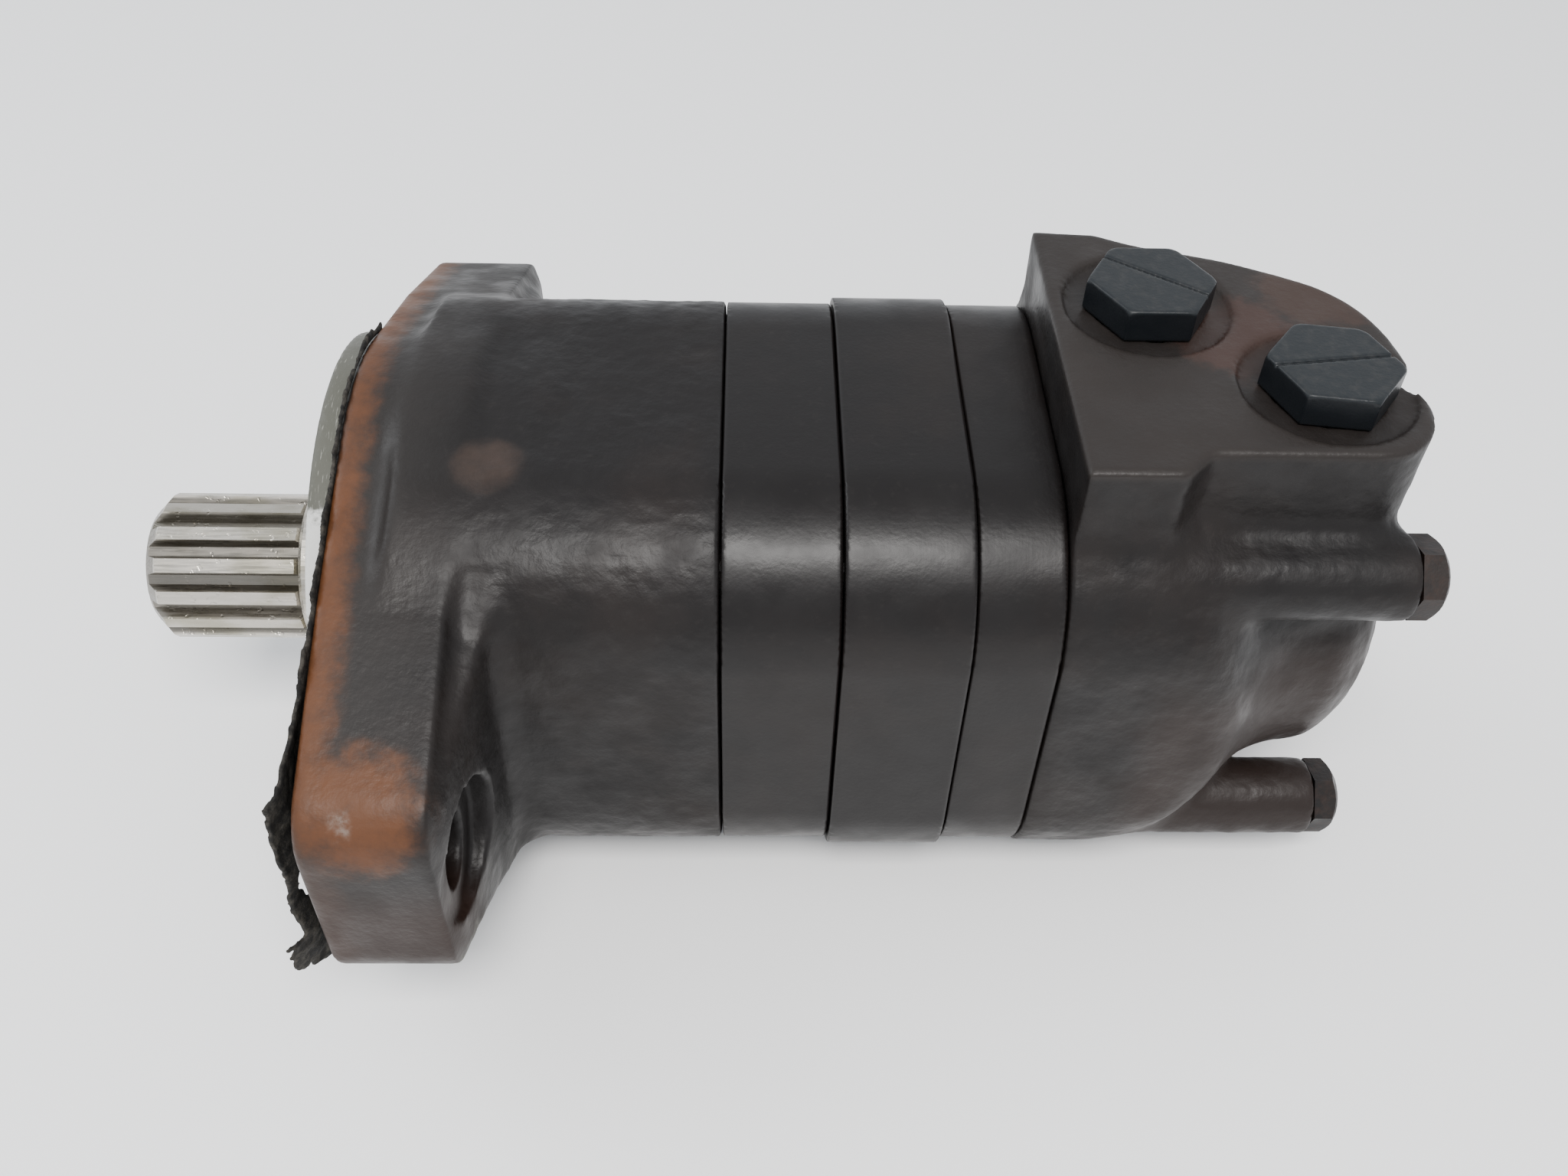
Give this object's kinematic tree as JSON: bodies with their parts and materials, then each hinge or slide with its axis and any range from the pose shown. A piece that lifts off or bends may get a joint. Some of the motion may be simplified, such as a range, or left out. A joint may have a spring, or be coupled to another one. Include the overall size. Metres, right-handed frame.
{
  "type": "hydraulic motor",
  "caption": "Orbital hydraulic motor with a splined output shaft, an eared mounting flange with a round pilot, stacked body sections and a port block closed by hexagon plugs.",
  "frame": {"origin": "the point where the shaft's axis meets the plane of the flange's front mounting face", "axes": "+X along the shaft's axis towards the rear (the shaft's free end points to -X), +Z out of the port face, and Y across the flange from ear to ear"},
  "size_m": [0.2632, 0.174, 0.1206],
  "materials": {
    "cast_paint": "satin",
    "smooth_paint": "satin",
    "screw_paint": "satin",
    "plug_paint": "satin",
    "shaft_steel": "satin",
    "inner_steel": "satin",
    "seal_rubber": "matte",
    "gasket_sheet": "matte"
  },
  "bodies": {
    "housing": {"bearing_housing": "cast_paint", "mounting_gasket": "gasket_sheet", "dust_seal": "seal_rubber", "shaft_seal": "seal_rubber", "seal_backup_ring": "inner_steel", "front_bearing_outer_ring": "inner_steel", "rear_bearing_outer_ring": "inner_steel", "thrust_washer": "inner_steel", "wear_plate": "smooth_paint", "geroler_ring": "cast_paint", "valve_plate": "smooth_paint", "valve_housing": "cast_paint", "balance_ring": "inner_steel", "balance_spring": "inner_steel", "body_seal_1": "seal_rubber", "body_seal_2": "seal_rubber", "body_seal_3": "seal_rubber", "body_seal_4": "seal_rubber", "port_plug_1": "plug_paint", "port_plug_2": "plug_paint", "plug_seal_1": "seal_rubber", "plug_seal_2": "seal_rubber", "cap_screw_1": "screw_paint", "cap_screw_2": "screw_paint", "cap_screw_3": "screw_paint", "cap_screw_4": "screw_paint", "drain_plug": "plug_paint", "drain_plug_seal": "seal_rubber"},
    "shaft": {"output_shaft": "shaft_steel", "front_bearing_inner_ring": "inner_steel", "rear_bearing_inner_ring": "inner_steel"},
    "front_rollers": {"front_bearing_rollers": "inner_steel"},
    "rear_rollers": {"rear_bearing_rollers": "inner_steel"},
    "orbit_carrier": {"drive_spacer": "inner_steel"},
    "star": {"geroler_star": "inner_steel"},
    "main_drive": {"main_drive": "inner_steel"},
    "valve_drive": {"valve_drive": "inner_steel"},
    "disc_valve": {"disc_valve": "inner_steel"},
    "roller_1": {"roller_1": "inner_steel"},
    "roller_2": {"roller_2": "inner_steel"},
    "roller_3": {"roller_3": "inner_steel"},
    "roller_4": {"roller_4": "inner_steel"},
    "roller_5": {"roller_5": "inner_steel"},
    "roller_6": {"roller_6": "inner_steel"},
    "roller_7": {"roller_7": "inner_steel"}
  },
  "joints": [
    {"name": "shaft_spin", "type": "hinge", "parent": "housing", "child": "shaft", "pos_m": [0, 0, 0], "axis": [1, 0, 0], "continuous": true},
    {"name": "front_rollers_spin", "type": "hinge", "parent": "housing", "child": "front_rollers", "pos_m": [0.0205, 0, 0], "axis": [1, 0, 0], "continuous": true},
    {"name": "rear_rollers_spin", "type": "hinge", "parent": "housing", "child": "rear_rollers", "pos_m": [0.0535, 0, 0], "axis": [1, 0, 0], "continuous": true},
    {"name": "orbit", "type": "hinge", "parent": "housing", "child": "orbit_carrier", "pos_m": [0.1077, 0, 0], "axis": [1, 0, 0], "continuous": true},
    {"name": "star_spin", "type": "hinge", "parent": "orbit_carrier", "child": "star", "pos_m": [0.106, 0.0027, 0], "axis": [1, 0, 0], "continuous": true},
    {"name": "main_drive_spin", "type": "hinge", "parent": "orbit_carrier", "child": "main_drive", "pos_m": [0.0745, 0.00135, 0], "axis": [0.9987, 0.0509, 0], "continuous": true},
    {"name": "valve_drive_spin", "type": "hinge", "parent": "orbit_carrier", "child": "valve_drive", "pos_m": [0.128, 0.00135, 0], "axis": [0.9959, -0.09, 0], "continuous": true},
    {"name": "disc_valve_spin", "type": "hinge", "parent": "housing", "child": "disc_valve", "pos_m": [0.143, 0, 0], "axis": [1, 0, 0], "continuous": true},
    {"name": "roller_1_spin", "type": "hinge", "parent": "housing", "child": "roller_1", "pos_m": [0.106, 0.0325, 0], "axis": [1, 0, 0], "continuous": true},
    {"name": "roller_2_spin", "type": "hinge", "parent": "housing", "child": "roller_2", "pos_m": [0.106, 0.02026, 0.02541], "axis": [1, 0, 0], "continuous": true},
    {"name": "roller_3_spin", "type": "hinge", "parent": "housing", "child": "roller_3", "pos_m": [0.106, -0.00723, 0.03168], "axis": [1, 0, 0], "continuous": true},
    {"name": "roller_4_spin", "type": "hinge", "parent": "housing", "child": "roller_4", "pos_m": [0.106, -0.02928, 0.0141], "axis": [1, 0, 0], "continuous": true},
    {"name": "roller_5_spin", "type": "hinge", "parent": "housing", "child": "roller_5", "pos_m": [0.106, -0.02928, -0.0141], "axis": [1, 0, 0], "continuous": true},
    {"name": "roller_6_spin", "type": "hinge", "parent": "housing", "child": "roller_6", "pos_m": [0.106, -0.00723, -0.03168], "axis": [1, 0, 0], "continuous": true},
    {"name": "roller_7_spin", "type": "hinge", "parent": "housing", "child": "roller_7", "pos_m": [0.106, 0.02026, -0.02541], "axis": [1, 0, 0], "continuous": true}
  ],
  "couplings": [
    {"joint": "shaft_spin", "follows": "orbit", "ratio": -0.16667},
    {"joint": "front_rollers_spin", "follows": "orbit", "ratio": -0.073529},
    {"joint": "rear_rollers_spin", "follows": "orbit", "ratio": -0.079427},
    {"joint": "star_spin", "follows": "orbit", "ratio": -1.1667},
    {"joint": "main_drive_spin", "follows": "orbit", "ratio": -1.1667},
    {"joint": "valve_drive_spin", "follows": "orbit", "ratio": -1.1667},
    {"joint": "disc_valve_spin", "follows": "orbit", "ratio": -0.16667},
    {"joint": "roller_1_spin", "follows": "orbit", "ratio": 0.55556},
    {"joint": "roller_2_spin", "follows": "orbit", "ratio": 0.55556},
    {"joint": "roller_3_spin", "follows": "orbit", "ratio": 0.55556},
    {"joint": "roller_4_spin", "follows": "orbit", "ratio": 0.55556},
    {"joint": "roller_5_spin", "follows": "orbit", "ratio": 0.55556},
    {"joint": "roller_6_spin", "follows": "orbit", "ratio": 0.55556},
    {"joint": "roller_7_spin", "follows": "orbit", "ratio": 0.55556}
  ]
}
